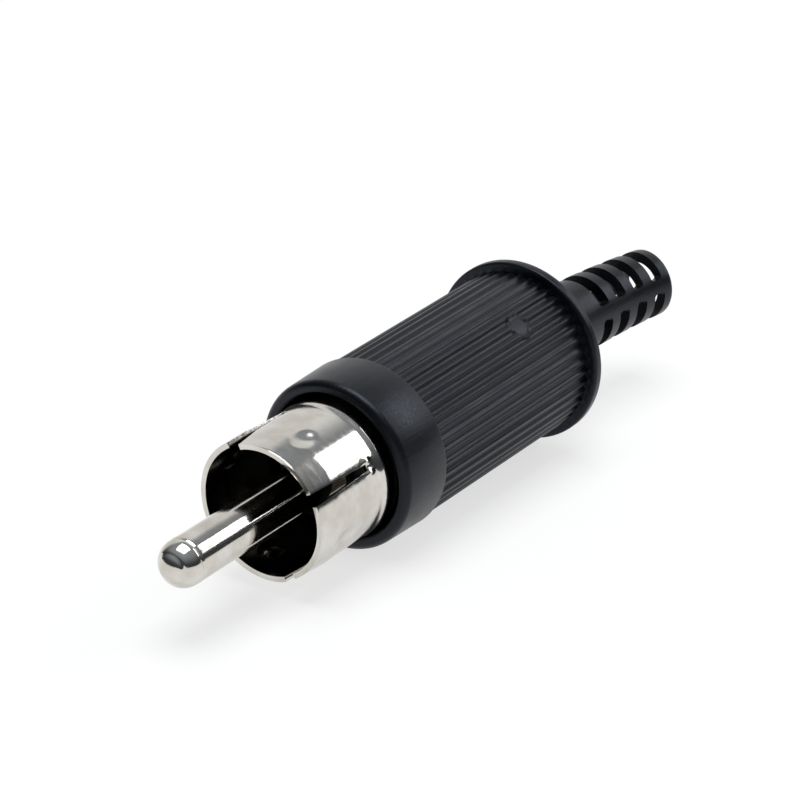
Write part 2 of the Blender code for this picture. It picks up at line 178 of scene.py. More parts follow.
SPINE_TURN = math.radians(72)
SPINE_STEPS = (3, 4)
BORE_R = 4.5
BORE_SEAT_GAP = 0.42
BORE_THREAD_ENDS = (9.25, 14.6)
FINE_STEP = 0.12
CAVITY_END = 28.0
CAVITY_TAPER = 3.4

# Round pad on the grip: station, turn and radius; its edge and lip as shares of the radius; its depth in ribs
MARK = (24.2, math.radians(37), 1.0)
MARK_EDGE = (0.75, 1.0)
MARK_LIP = (0.9, 0.12)
MARK_LIP_HEIGHT = 0.07
MARK_LIP_START = -0.5
MARK_SINK = 0.6
MARK_MARGIN = 1.3

# Painted highlight patch on the collar, where the window reflects, broken up by speckle noise: station and
# turn, full radius and fade
PAINTED_COLLAR_HIGHLIGHT = (9.8, math.radians(44))
PAINTED_COLLAR_HIGHLIGHT_SIZE = (0.6, 1.1)


def station_turn_radius(point):
    """Station, turn from the top towards -Y, and radius of a point round the axis."""
    return point.x, math.atan2(-point.y, point.z), math.hypot(point.y, point.z)


def round_axis(x, turn, radius):
    """The point at that station, turn and radius."""
    return Vector((x, -radius * math.sin(turn), radius * math.cos(turn)))


def ease(value, low, high):
    """0 below low, 1 above high, and a smooth step between."""
    part = min(max((value - low) / (high - low), 0), 1)
    return part * part * (3 - 2 * part)


def only(thing):
    """Make one object the selected and active one."""
    bpy.ops.object.select_all(action="DESELECT")
    thing.select_set(True)
    bpy.context.view_layer.objects.active = thing


def edit(thing, mode="VERT"):
    """Enter edit mode on one object with nothing selected."""
    only(thing)
    bpy.ops.object.mode_set(mode="EDIT")
    bpy.ops.mesh.select_mode(type=mode)
    bpy.ops.mesh.select_all(action="DESELECT")


def leave():
    """Back to object mode."""
    bpy.ops.object.mode_set(mode="OBJECT")


def pick(thing, kind, test):
    """Select the verts, edges or faces whose middle passes the test, in edit mode."""
    shape = bmesh.from_edit_mesh(thing.data)
    for item in getattr(shape, kind):
        if kind == "verts":
            middle = item.co
        else:
            middle = sum((v.co for v in item.verts), Vector()) / len(item.verts)
        item.select_set(test(middle))
    shape.select_flush_mode()
    bmesh.update_edit_mesh(thing.data)


def lathe(name, outline, sides, turn=0.0):
    """Add a ring round the axis and extrude it through the (station, radius) outline."""
    x, radius = outline[0]
    bpy.ops.mesh.primitive_circle_add(vertices=sides, radius=radius, location=(x, 0, 0),
                                      rotation=(0, math.pi / 2, 0))
    thing = bpy.context.object
    thing.name = name
    bpy.ops.object.transform_apply(location=True, rotation=True, scale=True)
    thing.rotation_euler = (turn, 0, 0)
    bpy.ops.object.transform_apply(location=False, rotation=True, scale=False)
    edit(thing)
    bpy.ops.mesh.select_all(action="SELECT")
    for (x, radius), (next_x, next_radius) in zip(outline, outline[1:]):
        bpy.ops.mesh.extrude_region_move(TRANSFORM_OT_translate={"value": (next_x - x, 0, 0)})
        grow = next_radius / radius
        bpy.ops.transform.resize(value=(1, grow, grow), center_override=(next_x, 0, 0))
    leave()
    return thing


def close_ends(thing):
    """Fill each open ring with a flat face."""
    edit(thing, "EDGE")
    bpy.ops.mesh.select_non_manifold()
    bpy.ops.mesh.edge_face_add()
    leave()


def turn_outwards(thing):
    """Make every face point outwards."""
    edit(thing)
    bpy.ops.mesh.select_all(action="SELECT")
    bpy.ops.mesh.normals_make_consistent(inside=False)
    leave()


def stitch(thing):
    """Merge the first and last rings where an outline comes back to its start."""
    edit(thing)
    bpy.ops.mesh.select_all(action="SELECT")
    bpy.ops.mesh.remove_doubles(threshold=0.0005)
    leave()
    turn_outwards(thing)


def bridge_open(thing, test):
    """Bridge the open rings whose edges pass the test."""
    edit(thing, "EDGE")
    shape = bmesh.from_edit_mesh(thing.data)
    for edge in shape.edges:
        edge.select_set(edge.is_boundary and test(edge))
    bmesh.update_edit_mesh(thing.data)
    bpy.ops.mesh.bridge_edge_loops()
    leave()


def join(things):
    """Join objects into the first."""
    bpy.ops.object.select_all(action="DESELECT")
    for thing in things:
        thing.select_set(True)
    bpy.context.view_layer.objects.active = things[0]
    bpy.ops.object.join()
    return things[0]


def reshape(thing, rule):
    """Move each vertex to the station, turn and radius that the rule gives."""
    for vertex in thing.data.vertices:
        vertex.co = round_axis(*rule(*station_turn_radius(vertex.co)))


def finish_with(thing, kind, **settings):
    """Add a modifier and apply it."""
    only(thing)
    modifier = thing.modifiers.new(kind.title(), kind)
    for key, value in settings.items():
        setattr(modifier, key, value)
    bpy.ops.object.modifier_apply(modifier=modifier.name)


def smooth(thing, angle):
    """Smooth shading up to that angle in degrees."""
    only(thing)
    bpy.ops.object.shade_smooth_by_angle(angle=math.radians(angle))


def lay_on_side(thing):
    """From millimetres in the plug's own frame to where the plug lies."""
    only(thing)
    thing.scale = (MM, MM, MM)
    thing.rotation_euler = (0, -TILT, 0)
    thing.location = RIM
    bpy.ops.object.transform_apply(location=True, rotation=True, scale=True)


def arc(centre, radius, start, stop, steps):
    """Outline points of an arc, its angles in degrees from the axis."""
    x, r = centre
    turns = [math.radians(start + (stop - start) * i / steps) for i in range(steps + 1)]
    return [(x + radius * math.cos(t), r + radius * math.sin(t)) for t in turns]


def run(start, stop, radius, stop_radius, step):
    """Outline points at even steps along a straight stretch, without its last point."""
    count = max(1, round((stop - start) / step))
    return [(start + (stop - start) * i / count, radius + (stop_radius - radius) * i / count)
            for i in range(count)]


def centre_pin():
    """Drawn tube: domed nose, fine ring behind the dome, shoulder and rolled rear end."""
    dome_x = PIN_NOSE + PIN_DOME
    ring_x = dome_x + PIN_RING_GAP
    ring = PIN_R - PIN_RING_DEPTH
    outline = [(dome_x - PIN_DOME * math.cos(t), PIN_R * math.sin(t))
               for t in (math.radians(a) for a in range(PIN_DOME_STEP, 91, PIN_DOME_STEP))]
    groove_x, groove_r = -math.cos(PIN_GROOVE) * PIN_DOME, math.sin(PIN_GROOVE) * PIN_R
    outline = [(x + PIN_RING_DEPTH * math.exp(-(((x - dome_x - groove_x) ** 2 + (r - groove_r) ** 2)
                                                / PIN_RING_GAP ** 2)), r) for x, r in outline]
    outline += [(ring_x, ring), (ring_x + PIN_RING_GAP, PIN_R)]
    shoulder_x, shoulder_end, shoulder_r = PIN_SHOULDER
    flare_x, flare_end, flare_r = PIN_FLARE
    soft = CHAMFER / 2
    outline += run(ring_x + PIN_RING_GAP * 2, shoulder_x, PIN_R, PIN_R, PIN_SHAFT_STEP)
    outline += [(shoulder_x, PIN_R), (shoulder_x, shoulder_r - soft), (shoulder_x + soft, shoulder_r),
                (shoulder_end - soft, shoulder_r), (shoulder_end, shoulder_r - soft),
                (shoulder_end, PIN_R), (flare_x, PIN_R), (flare_x, flare_r - 2 * soft)]
    outline += arc((flare_x + 2 * soft, flare_r - 2 * soft), 2 * soft, 150, 45, 3)
    outline += [(flare_end, flare_r - 3 * soft), (flare_end, PIN_BORE_R + soft),
                (flare_end - soft, PIN_BORE_R), (dome_x + PIN_BORE_TIP[0], PIN_BORE_R),
                (dome_x, PIN_BORE_TIP[1])]
    pin = lathe("contact_pin", outline, PIN_SIDES)
    close_ends(pin)
    stitch(pin)
    smooth(pin, 38)
    return pin


def petal_place(turn):
    """Which petal a turn lies on, and how far from its middle in half petals."""
    quarter = 2 * math.pi / PETALS
    along = ((turn - SLOT_TURN) % (2 * math.pi)) / quarter
    petal = int(along) % PETALS
    return petal, 2 * (along - int(along)) - 1


def thread_height(x, turn, ends):
    """How far the thread stands at a station and turn, fading out at both ends."""
    start, end = ends
    if not start < x < end:
        return 0
    wave = 0.5 + 0.5 * math.cos(2 * math.pi * (x / THREAD_PITCH) - turn)
    fade = ease(x, start, start + THREAD_FADE) * (1 - ease(x, end - THREAD_FADE, end))
    return THREAD_DEPTH * fade * wave


def petal_rule(x, turn, radius):
    """Slots, lean, lead-in, grip pips, bead, torn slot root and rolled thread."""
    quarter = 2 * math.pi / PETALS
    petal, across = petal_place(turn)
    middle = SLOT_TURN + (petal + 0.5) * quarter
    along = min(x / SLOT_LENGTH, 1)
    half_gap = (SLOT_MOUTH + (SLOT_ROOT - SLOT_MOUTH) * along) / 2 / SLEEVE_R
    face_half = math.pi / (PETALS * PETAL_COLUMNS)
    reach = (quarter / 2 - half_gap) / (quarter / 2 - face_half)
    if x <= NECK[0]:
        turn = middle + across * quarter / 2 * reach
    if x <= SLOT_LENGTH:
        radius += PETAL_LEAN[petal] * (1 - along) ** LEAN_CURVE
        radius -= LEAD_IN_DROP * max(0, 1 - x / LEAD_IN)
        length, width = PIP_SIZE
        side = (turn - middle) * SLEEVE_R
        spot = ((x - PIP_X) / (length / 2)) ** 2 + (side / (width / 2)) ** 2
        if spot < 1:
            radius -= PIP_DEPTH * (1 - spot) ** PIP_CURVE
    from_bead = abs(x - BEAD_X) / (BEAD_WIDTH / 2)
    if from_bead < 1:
        radius += BEAD_HEIGHT * (0.5 + 0.5 * math.cos(math.pi * from_bead))
    edge = (1 - abs(across)) * quarter / 2 * SLEEVE_R
    if petal in (0, PETALS - 1) and (petal == 0) == (across < 0):
        behind, beside = BURR_START
        spot = math.hypot(x - SLOT_LENGTH - behind, max(edge - beside, 0)) / BURR_REACH
        if spot < 1:
            crest, width = BURR_RIDGE
            radius += BURR_HEIGHT * (1 - spot) * math.exp(-((edge - crest) / width) ** 2)
    return x, turn, radius - thread_height(x, turn, THREAD_ENDS)


def ground_sleeve(plated, inside):
    """Stamped and drawn sleeve with four sprung petals, a bead and a threaded tail."""
    sides = PETALS * PETAL_COLUMNS
    outline = run(0, SLOT_LENGTH, SLEEVE_R, SLEEVE_R, SLEEVE_STEP)
    outline += run(SLOT_LENGTH, NECK[0], SLEEVE_R, SLEEVE_R, SLEEVE_STEP)
    outline += run(*NECK, SLEEVE_R, TAIL_R, SLEEVE_STEP)
    outline += run(NECK[1], TAIL_END - TAIL_ROUND, TAIL_R, TAIL_R, THREAD_STEP)
    outline += arc((TAIL_END - TAIL_ROUND, TAIL_R - TAIL_ROUND), TAIL_ROUND, 90, 0, 4)
    outline.append((TAIL_END, BASE_HOLE_R))
    half = math.pi / sides
    sleeve = lathe("petal_sleeve", outline, sides, SLOT_TURN + half)
    quarter = 2 * math.pi / PETALS

    def in_slot(middle):
        x, turn, _ = station_turn_radius(middle)
        from_slot = (turn - SLOT_TURN + quarter / 2) % quarter - quarter / 2
        return x < SLOT_LENGTH and abs(from_slot) < half / 2

    edit(sleeve, "FACE")
    pick(sleeve, "faces", in_slot)
    bpy.ops.mesh.delete(type="FACE")
    leave()
    turn_outwards(sleeve)
    reshape(sleeve, petal_rule)
    # The inner faces take the second finish, the nickel painted dark as shade inside the sleeve.
    for finish in (plated, inside):
        sleeve.data.materials.append(finish)
    finish_with(sleeve, "SOLIDIFY", thickness=SLEEVE_SHEET, offset=-1, use_even_offset=True,
                material_offset=1, material_offset_rim=0)
    finish_with(sleeve, "BEVEL", width=SHEARED_EDGE, segments=2, limit_method="ANGLE",
                angle_limit=math.radians(60))
    smooth(sleeve, 50)
    return sleeve


def insulating_bush():
    """Moulded bush with eased edges."""
    (face, wide), (seat, _), (_, narrow), (end, _) = BUSH
    outline = [(face, BUSH_BORE_R + CHAMFER), (face, wide - CHAMFER), (face + CHAMFER, wide),
               (seat - CHAMFER, wide), (seat, wide - CHAMFER), (seat, narrow),
               (end - CHAMFER, narrow), (end, narrow - CHAMFER), (end, BUSH_BORE_R + CHAMFER),
               (end - CHAMFER, BUSH_BORE_R), (face + CHAMFER, BUSH_BORE_R),
               (face, BUSH_BORE_R + CHAMFER)]
    bush = lathe("insulator_bush", outline, 72)
    stitch(bush)
    smooth(bush, 30)
    return bush


def rear_wafer():
    """Punched board wafer, its rear edge broken a little more than its front."""
    front, back, wide = WAFER
    soft = CHAMFER / 3
    outline = [(front, BUSH_BORE_R), (front, wide - soft), (front + soft, wide),
               (back - 2 * soft, wide), (back, wide - 2 * soft), (back, BUSH_BORE_R),
               (front, BUSH_BORE_R)]
    wafer = lathe("paper_wafer", outline, 72)
    stitch(wafer)
    smooth(wafer, 30)
    return wafer


def softened_copy(node, name):
    """A copy of a stamped lug with its sheared edges rounded over."""
    only(frame["nodes"][node])
    bpy.ops.object.duplicate()
    copy = bpy.context.object
    copy.name = name
    edit(copy)
    bpy.ops.mesh.select_all(action="SELECT")
    bpy.ops.mesh.remove_doubles(threshold=1e-6)
    bpy.ops.mesh.tris_convert_to_quads()
    leave()
    finish_with(copy, "BEVEL", width=SHEARED_EDGE * MM, segments=2, limit_method="ANGLE",
                angle_limit=math.radians(50))
    smooth(copy, 40)
    return copy


def rib_profile(turn):
    """Height of the ribbing at a turn, from 0 in a groove to 1 on a crest."""
    part = (turn * RIBS / (2 * math.pi)) % 1
    return ease(1 - abs(2 * part - 1), *RIB_FLANK)


def grip_rule(heights):
    """Rule that sinks the grooves between the ribs, each rib of its own height."""
    mark_x, mark_turn, mark_r = MARK

    def rule(x, turn, radius):
        if not COLLAR_END < x < GRIP_END:
            return x, turn, radius
        rib = int(turn % (2 * math.pi) * RIBS / (2 * math.pi)) % RIBS
        depth = RIB_DEPTH * (1 - rib_profile(turn) * heights[rib])
        away = math.hypot(x - mark_x, (turn - mark_turn) * GRIP_R) / mark_r
        inside = 1 - ease(away, *MARK_EDGE)
        depth += (RIB_DEPTH * MARK_SINK - depth) * inside
        if x > mark_x + MARK_LIP_START:
            depth -= MARK_LIP_HEIGHT * math.exp(-((away - MARK_LIP[0]) / MARK_LIP[1]) ** 2)
        return x, turn, radius - depth

    return rule


def cover_front():
    """Collar, ribbed grip and flange, from the mouth's ring to the flange's rear edge."""
    front = COLLAR_R - COLLAR_DRAFT
    outline = [(COVER_FACE, MOUTH_R + MOUTH_CHAMFER)]
    outline += arc((COVER_FACE + COLLAR_ROUND, front - COLLAR_ROUND), COLLAR_ROUND, 180, 90, 6)
    outline += [(COLLAR_END - back, COLLAR_R - drop) for back, drop in COLLAR_EDGE]
    first = COLLAR_END + RIB_END
    last = GRIP_END - RIB_END
    grown = GRIP_R + GRIP_FLARE
    mark_x, _, mark_r = MARK
    before, behind = mark_x - mark_r * MARK_MARGIN, mark_x + mark_r * MARK_MARGIN
    middle = [GRIP_R + GRIP_FLARE * (x - first) / (last - first) for x in (before, behind)]
    outline += run(first, before, GRIP_R, middle[0], RIB_STEP)
    outline += run(before, behind, middle[0], middle[1], FINE_STEP)
    outline += run(behind, last, middle[1], grown, RIB_STEP)
    outline += [(last, grown), (GRIP_END, grown + 0.05)]
    outline += arc((GRIP_END + FLANGE_ROUND, FLANGE_R - FLANGE_ROUND), FLANGE_ROUND, 180, 90, 4)
    outline += arc((FLANGE_END - FLANGE_ROUND, FLANGE_R - FLANGE_ROUND), FLANGE_ROUND, 90, 0, 4)
    body = lathe("cover_moulding", outline, RIBS * RIB_SIDES)
    dice = random.Random(RIBS)
    heights = [dice.uniform(RIB_LOWEST, 1.0) for _ in range(RIBS)]
    reshape(body, grip_rule(heights))
    return body


def slot_starts():
    """Stations of the boot's slot rows, from the boot's root."""
    last = BOOT_LENGTH - END_RING - SLOT_WIDTH
    return [last - row * SLOT_PITCH for row in reversed(range(SLOT_ROWS))]


def boot_stations():
    """Stations of the boot's rings, with narrow steps at the slots' corners."""
    stations = list(BOOT_ROOT_STATIONS)
    for start in slot_starts():
        stations += [start, start + SLOT_CORNER, start + SLOT_WIDTH - SLOT_CORNER,
                     start + SLOT_WIDTH, start + (SLOT_WIDTH + SLOT_PITCH) / 2]
    return [s for s in stations if s < BOOT_LENGTH - BOOT_ROUND]


def boot_shell(name, radii, end):
    """One side of the boot's wall, as a tapered tube from the root."""
    start_r, end_r = radii
    outline = [(s, start_r + (end_r - start_r) * s / BOOT_LENGTH) for s in boot_stations()]
    return lathe(name, outline + end, BOOT_SIDES, SPINE_TURN)


def from_spine(turn):
    """Angle from the nearer of the boot's two spines."""
    return abs((turn - SPINE_TURN + math.pi / 2) % math.pi - math.pi / 2)


def open_slots(shell, steps):
    """Cut the slots out of one side of the wall and round their corners."""
    step = 2 * math.pi / BOOT_SIDES
    edge = step * steps

    def in_slot(middle):
        x, turn, _ = station_turn_radius(middle)
        row = any(start < x < start + SLOT_WIDTH for start in slot_starts())
        return row and from_spine(turn) > edge

    edit(shell, "FACE")
    pick(shell, "faces", in_slot)
    bpy.ops.mesh.delete(type="FACE")
    leave()

    def round_corner(x, turn, radius):
        for start in slot_starts():
            for side, inward in ((start, 1), (start + SLOT_WIDTH, -1)):
                if abs(x - side) < 0.01 and abs(from_spine(turn) - edge) < step / 4:
                    away = 1 if from_spine(turn + step / 4) > from_spine(turn) else -1
                    inwards, around = SLOT_CORNER_MOVE
                    return x + inwards * inward, turn + away * step * around, radius
        return x, turn, radius

    reshape(shell, round_corner)


def slot_test(start, far_side):
    """A test for the edges round one slot of the boot, on one side of the spines."""
    def round_slot(edge):
        x, turn, _ = station_turn_radius((edge.verts[0].co + edge.verts[1].co) / 2)
        in_row = start - 0.05 < x < start + SLOT_WIDTH + 0.05
        return in_row and ((turn - SPINE_TURN) % (2 * math.pi) < math.pi) == far_side

    return round_slot


def at_tip(edge):
    """Whether an edge lies in the boot's end face."""
    return all(abs(v.co.x - BOOT_LENGTH) < 0.01 for v in edge.verts)


def slotted_boot():
    """The boot's wall, both sides, with its slots, bent the way it has set."""
    tip = BOOT_LENGTH - BOOT_ROUND
    rim = arc((tip, BOOT_END_R - BOOT_ROUND), BOOT_ROUND, 90, 0, 4)
    outer = boot_shell("boot", (BOOT_R, BOOT_END_R), rim)
    inner = boot_shell("boot_bore", BOOT_BORE_R, [(BOOT_LENGTH - 0.1, BOOT_BORE_R[1]),
                                                  (BOOT_LENGTH, BOOT_BORE_R[1] + 0.1)])
    open_slots(outer, SPINE_STEPS[0])
    open_slots(inner, SPINE_STEPS[1])
    boot = join([outer, inner])
    for start in slot_starts():
        for far_side in (False, True):
            bridge_open(boot, slot_test(start, far_side))
    bridge_open(boot, at_tip)
    turn_outwards(boot)
    radius = BOOT_LENGTH / BOOT_BEND
    for vertex in boot.data.vertices:
        turn = vertex.co.x / radius
        side = radius + vertex.co.y
        vertex.co.x = BOOT_START + side * math.sin(turn)
        vertex.co.y = side * math.cos(turn) - radius
    return boot


def bore_rule(x, turn, radius):
    """Rule that raises the bore's thread, whose crests face the grooves of the sleeve's."""
    return x, turn, radius - thread_height(x, turn, BORE_THREAD_ENDS)


def cover_hollow():
    """The cover's hollow, from its mouth to the boot's root."""
    seat = NECK[0] + SLEEVE_R + BORE_SEAT_GAP
    thread_end = BORE_THREAD_ENDS[1]
    outline = [(COVER_FACE + MOUTH_CHAMFER, MOUTH_R), (seat - MOUTH_R, MOUTH_R), (seat - BORE_R, BORE_R)]
    outline += run(seat - BORE_R + 0.05, thread_end, BORE_R, BORE_R, FINE_STEP)
    outline += [(thread_end + 0.1, BORE_R), (CAVITY_END, BORE_R),
                (CAVITY_END + CAVITY_TAPER, BOOT_BORE_R[0]), (BOOT_START, BOOT_BORE_R[0])]
    hollow = lathe("hollow", outline, BOOT_SIDES, SPINE_TURN)
    reshape(hollow, bore_rule)
    return hollow


def cover_shoulder():
    """The cone from the flange's rear face to the boot's root, hollowed a little."""
    outline = [(FLANGE_END, SHOULDER_R + SHOULDER_EDGE), (FLANGE_END + 0.04, SHOULDER_R)]
    outline += run(FLANGE_END + SHOULDER_EDGE, BOOT_START, SHOULDER_R - 0.08, BOOT_R, 0.4)
    outline.append((BOOT_START, BOOT_R))
    return lathe("shoulder", outline, BOOT_SIDES, SPINE_TURN)


def ring_test(*places):
    """A test for the edges of the open rings at the given stations and radii."""
    def on_ring(edge):
        return any(all(abs(v.co.x - x) < 0.02 and abs(math.hypot(v.co.y, v.co.z) - radius) < 0.02
                       for v in edge.verts) for x, radius in places)

    return on_ring


def screw_cover():
    """The whole moulded cover as one closed skin."""
    cover = join([cover_front(), cover_shoulder(), slotted_boot(), cover_hollow()])
    stitch(cover)
    mouth = ring_test((COVER_FACE, MOUTH_R + MOUTH_CHAMFER), (COVER_FACE + MOUTH_CHAMFER, MOUTH_R))
    flange_back = ring_test((FLANGE_END, FLANGE_R - FLANGE_ROUND),
                            (FLANGE_END, SHOULDER_R + SHOULDER_EDGE))
    bridge_open(cover, mouth)
    bridge_open(cover, flange_back)
    turn_outwards(cover)
    smooth(cover, 42)
    return cover


def colour(code):
    """Linear colour of an sRGB hex value."""
    parts = [int(code[i:i + 2], 16) / 255 for i in (1, 3, 5)]
    return [p / 12.92 if p <= 0.04045 else ((p + 0.055) / 1.055) ** 2.4 for p in parts] + [1]


def add(tree, kind, settings=None, links=None):
    """Add a node, with its settings and with its inputs as values or (node, socket) links."""
    node = tree.nodes.new(kind)
    for key, value in (settings or {}).items():
        setattr(node, key, value)
    for key, value in (links or {}).items():
        if isinstance(value, tuple) and isinstance(value[0], bpy.types.Node):
            tree.links.new(value[0].outputs[value[1]], node.inputs[key])
        else:
            node.inputs[key].default_value = value
    return node


def new_material(name, base, roughness, metallic):
    """A Principled material; the constants sit on the shader's own sockets."""
    finish = bpy.data.materials.new(name)
    finish.use_nodes = True
    tree = finish.node_tree
    shader = tree.nodes["Principled BSDF"]
    shader.inputs["Base Color"].default_value = colour(base)
    shader.inputs["Roughness"].default_value = roughness
    shader.inputs["Metallic"].default_value = metallic
    place = add(tree, "ShaderNodeTexCoord")
    plug = add(tree, "ShaderNodeMapping", {"vector_type": "TEXTURE"},
               {"Vector": (place, "Object"), "Location": RIM, "Rotation": (0, -TILT, 0),
                "Scale": (MM, MM, MM)})
    return finish, tree, shader, plug


def stretched(tree, plug, along, across):
    """Plug coordinates scaled along the axis and across it, for drawn or moulded lines."""
    return add(tree, "ShaderNodeVectorMath", {"operation": "MULTIPLY"},
               {0: (plug, "Vector"), 1: (along, across, across)})


def noise(tree, vector, scale, detail=3.0, rough=0.5):
    """A noise field; its scale counts in lumps per millimetre."""
    return add(tree, "ShaderNodeTexNoise", None,
               {"Vector": (vector, "Vector"), "Scale": scale, "Detail": detail,
                "Roughness": rough})


def graded(tree, source, low, high, to_low=0.0, to_high=1.0):
    """Map a value smoothly from one range to another."""
    return add(tree, "ShaderNodeMapRange", {"interpolation_type": "SMOOTHSTEP"},
               {"Value": source, "From Min": low, "From Max": high,
                "To Min": to_low, "To Max": to_high})


def maths(tree, operation, first, second):
    """One arithmetic node."""
    return add(tree, "ShaderNodeMath", {"operation": operation}, {0: first, 1: second})


def mixed(tree, share, first, second):
    """Mix two colours by a share."""
    return add(tree, "ShaderNodeMix", {"data_type": "RGBA"}, {0: share, 6: first, 7: second})


def bumped(tree, shader, height, distance):
    """Feed the shader's normal with a bump, its depth in millimetres."""
    bump = add(tree, "ShaderNodeBump", None,
               {"Height": height, "Distance": distance * MM, "Strength": 1.0})
    tree.links.new(bump.outputs["Normal"], shader.inputs["Normal"])


def near(tree, plug, point, radius, soft):
    """1 within a radius of a point in the plug's frame, 0 beyond its soft edge."""
    away = add(tree, "ShaderNodeVectorMath", {"operation": "DISTANCE"},
               {0: (plug, "Vector"), 1: point})
    return graded(tree, (away, "Value"), radius, radius + soft, 1.0, 0.0)


def moulded_black_plastic():
    """Injection moulded ABS, black: a satin skin; the ribs' crests are painted paler, partly as wear and
    partly as painted highlight, and a painted highlight patch sits on the collar.
    """
    finish, tree, shader, plug = new_material("black_abs_moulded", "#08090b", 0.34, 0.0)
    shader.inputs["Specular IOR Level"].default_value = 0.3
    shader.inputs["Specular Tint"].default_value = colour("#e2ebff")
    grain = noise(tree, plug, 9.0, 4.0, 0.6)
    cloud = noise(tree, plug, 0.35, 2.0)
    lines = noise(tree, stretched(tree, plug, 0.12, 3.2), 1.0, 4.0, 0.65)
    around = add(tree, "ShaderNodeVectorMath", {"operation": "MULTIPLY"},
                 {0: (plug, "Vector"), 1: (0, 1, 1)})
    radius = add(tree, "ShaderNodeVectorMath", {"operation": "LENGTH"}, {0: (around, "Vector")})
    along = add(tree, "ShaderNodeSeparateXYZ", None, {0: (plug, "Vector")})
    # Ribs' crests painted paler: partly wear, partly painted highlight along the crest lines.
    grown = maths(tree, "MULTIPLY", (along, "X"), GRIP_FLARE / (GRIP_END - COLLAR_END))
    crest = maths(tree, "SUBTRACT", (radius, "Value"), (grown, 0))
    crest = graded(tree, (crest, 0), GRIP_R - 0.08, GRIP_R - 0.015)
    on_grip = graded(tree, (along, "X"), COLLAR_END, COLLAR_END + 0.05)
    off_grip = graded(tree, (along, "X"), GRIP_END - 0.1, GRIP_END, 1.0, 0.0)
    crest_wear_and_painted_highlight = maths(tree, "MULTIPLY", (crest, 0), (on_grip, 0))
    crest_wear_and_painted_highlight = maths(tree, "MULTIPLY", (crest_wear_and_painted_highlight, 0), (off_grip, 0))
    streaks = graded(tree, (lines, "Fac"), 0.5, 0.66)
    crest_wear_and_painted_highlight = maths(tree, "MULTIPLY", (crest_wear_and_painted_highlight, 0), (streaks, 0))
    # A painted highlight on the collar where the window's reflection lies, broken into speckles.
    painted_collar_highlight = near(tree, plug, round_axis(*PAINTED_COLLAR_HIGHLIGHT, COLLAR_R), *PAINTED_COLLAR_HIGHLIGHT_SIZE)
    speckle = noise(tree, plug, 4.5, 5.0, 0.75)
    speckle = graded(tree, (speckle, "Fac"), 0.44, 0.66)
    painted_collar_highlight = maths(tree, "MULTIPLY", (painted_collar_highlight, 0), (speckle, 0))
    # This share holds the crest wear with its painted highlight, and the painted collar highlight.
    worn = maths(tree, "MAXIMUM", (crest_wear_and_painted_highlight, 0), (painted_collar_highlight, 0))
    base = mixed(tree, (graded(tree, (cloud, "Fac"), 0.35, 0.7), 0), colour("#040507"),
                 colour("#090b0e"))
    # Pale grey: the colour of the crest wear and of the painted highlights.
    base = mixed(tree, (worn, 0), (base, 2), colour("#3c3f44"))
    tree.links.new(base.outputs[2], shader.inputs["Base Color"])
    gloss = graded(tree, (cloud, "Fac"), 0.3, 0.7, 0.30, 0.38)
    gloss = maths(tree, "ADD", (gloss, 0), (maths(tree, "MULTIPLY", (worn, 0), 0.15), 0))
    tree.links.new(gloss.outputs[0], shader.inputs["Roughness"])
    height = maths(tree, "ADD", (grain, "Fac"), (maths(tree, "MULTIPLY", (lines, "Fac"), 1.5), 0))
    bumped(tree, shader, (height, 0), 0.012)
    return finish


def nickel(name, base, worn, roughness, drawn):
    """Bright nickel plate on drawn brass: mirror-like, faintly warm, with fine drawing lines."""
    finish, tree, shader, plug = new_material(name, base, roughness, 1.0)
    lines = noise(tree, stretched(tree, plug, *drawn), 1.0, 4.0, 0.6)
    cloud = noise(tree, plug, 0.5, 3.0, 0.55)
    tone = mixed(tree, (graded(tree, (cloud, "Fac"), 0.35, 0.7), 0), colour(base),
                 colour(worn))
    tree.links.new(tone.outputs[2], shader.inputs["Base Color"])
    gloss = graded(tree, (lines, "Fac"), 0.3, 0.75, roughness * 0.8, roughness * 1.5)
    tree.links.new(gloss.outputs[0], shader.inputs["Roughness"])
    height = maths(tree, "ADD", (lines, "Fac"), (maths(tree, "MULTIPLY", (cloud, "Fac"), 2.0), 0))
    bumped(tree, shader, (height, 0), 0.004)
    return finish


def tinned_brass():
    """Hot tinned brass strip: greyer and softer than nickel, with wiped tin in cloudy patches."""
    finish, tree, shader, plug = new_material("tinned_brass_strip", "#bcb8ae", 0.32, 1.0)
    wipe = noise(tree, stretched(tree, plug, 0.8, 2.2), 1.0, 4.0, 0.6)
    tone = mixed(tree, (graded(tree, (wipe, "Fac"), 0.35, 0.7), 0), colour("#c8c4ba"),
                 colour("#9d9787"))
    tree.links.new(tone.outputs[2], shader.inputs["Base Color"])
    gloss = graded(tree, (wipe, "Fac"), 0.3, 0.7, 0.24, 0.42)
    tree.links.new(gloss.outputs[0], shader.inputs["Roughness"])
    bumped(tree, shader, (wipe, "Fac"), 0.02)
    return finish


def moulded_bush_plastic():
    """Moulded black nylon: duller than the cover, with a fine matt grain."""
    finish, tree, shader, plug = new_material("black_nylon_moulded", "#0e0e0f", 0.5, 0.0)
    grain = noise(tree, plug, 6.0, 4.0, 0.6)
    tone = mixed(tree, (graded(tree, (grain, "Fac"), 0.4, 0.7), 0), colour("#0b0b0c"),
                 colour("#151516"))
    tree.links.new(tone.outputs[2], shader.inputs["Base Color"])
    gloss = graded(tree, (grain, "Fac"), 0.3, 0.7, 0.45, 0.6)
    tree.links.new(gloss.outputs[0], shader.inputs["Roughness"])
    bumped(tree, shader, (grain, "Fac"), 0.01)
    return finish


